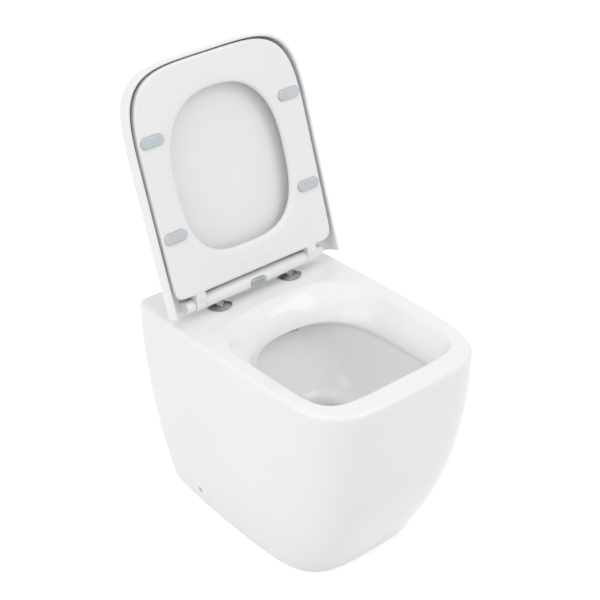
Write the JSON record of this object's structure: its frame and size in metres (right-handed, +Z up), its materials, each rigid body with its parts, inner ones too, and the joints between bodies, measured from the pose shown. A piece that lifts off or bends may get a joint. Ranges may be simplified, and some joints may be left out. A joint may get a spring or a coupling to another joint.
{
  "type": "back-to-wall toilet",
  "caption": "Back-to-wall ceramic toilet pan, fully skirted, with a slim soft-close seat and a wrap-over lid, both raised on a quick-release hinge bar.",
  "frame": {"origin": "on the floor, in the wall plane, on the pan's centre line", "axes": "+Z up, -Y to the front of the pan, +X to the right seen from the front; +Y points into the wall, along the outlet"},
  "size_m": [0.366, 0.5435, 0.8126],
  "materials": {
    "ceramic": "glossy white glaze",
    "seat_plastic": "glossy white thermoset",
    "bar_plastic": "satin off-white",
    "button_plastic": "satin grey-green",
    "bumper_rubber": "soft translucent grey",
    "seal_rubber": "matt black",
    "chrome": "polished",
    "steel": "satin stainless",
    "damper_plastic": "matt dark grey",
    "nut_plastic": "matt ivory"
  },
  "bodies": {
    "pan": {"pan": "ceramic", "hinge_bar": "bar_plastic", "seat_damper": "damper_plastic", "lid_damper": "damper_plastic", "button_springs": "steel", "post_left": "steel", "post_right": "steel", "flange_left": "chrome", "flange_right": "chrome", "gasket_left": "seal_rubber", "gasket_right": "seal_rubber"},
    "lid": {"lid": "seat_plastic", "lid_damper_shaft": "steel", "lid_bush": "nut_plastic", "lid_buffer_left": "bumper_rubber", "lid_buffer_right": "bumper_rubber"},
    "seat": {"seat_ring": "seat_plastic", "seat_damper_shaft": "steel", "seat_bush": "nut_plastic", "bumper_front_left": "bumper_rubber", "bumper_front_right": "bumper_rubber", "bumper_rear_left": "bumper_rubber", "bumper_rear_right": "bumper_rubber"},
    "button": {"release_button": "button_plastic"},
    "latch_left": {"latch_left": "steel"},
    "latch_right": {"latch_right": "steel"},
    "clamp_left": {"cone_left": "seal_rubber", "washer_left": "steel"},
    "clamp_right": {"cone_right": "seal_rubber", "washer_right": "steel"},
    "nut_left": {"wing_nut_left": "nut_plastic"},
    "nut_right": {"wing_nut_right": "nut_plastic"}
  },
  "joints": [
    {"name": "lid_hinge", "type": "hinge", "parent": "pan", "child": "lid", "pos_m": [0, -0.103, 0.422], "axis": [1, 0, 0], "range_deg": [0, 107.5]},
    {"name": "seat_hinge", "type": "hinge", "parent": "lid", "child": "seat", "pos_m": [0, -0.103, 0.422], "axis": [-1, 0, 0], "range_deg": [-107.5, 0]},
    {"name": "button_press", "type": "slide", "parent": "pan", "child": "button", "axis": [0, 1, 0], "range_m": [0, 0.003], "stiffness_N_per_m": 800, "springref_m": -0.002, "deforming": ["button_springs"]},
    {"name": "latch_left_slide", "type": "slide", "parent": "pan", "child": "latch_left", "axis": [-1, 0, 0], "range_m": [0, 0.0015]},
    {"name": "latch_right_slide", "type": "slide", "parent": "pan", "child": "latch_right", "axis": [1, 0, 0], "range_m": [0, 0.0015]},
    {"name": "clamp_left_slide", "type": "slide", "parent": "pan", "child": "clamp_left", "axis": [0, 0, -1], "range_m": [0, 0.005]},
    {"name": "clamp_right_slide", "type": "slide", "parent": "pan", "child": "clamp_right", "axis": [0, 0, -1], "range_m": [0, 0.005]},
    {"name": "nut_left_turn", "type": "hinge", "parent": "clamp_left", "child": "nut_left", "pos_m": [-0.0775, -0.103, 0.372], "axis": [0, 0, -1], "range_deg": [0, 1440]},
    {"name": "nut_right_turn", "type": "hinge", "parent": "clamp_right", "child": "nut_right", "pos_m": [0.0775, -0.103, 0.372], "axis": [0, 0, -1], "range_deg": [0, 1440]}
  ],
  "couplings": [
    {"joint": "latch_left_slide", "follows": "button_press", "ratio": 0.5},
    {"joint": "latch_right_slide", "follows": "button_press", "ratio": 0.5},
    {"joint": "nut_left_turn", "follows": "clamp_left_slide", "rad_per_m": 5026.5},
    {"joint": "nut_right_turn", "follows": "clamp_right_slide", "rad_per_m": 5026.5}
  ]
}
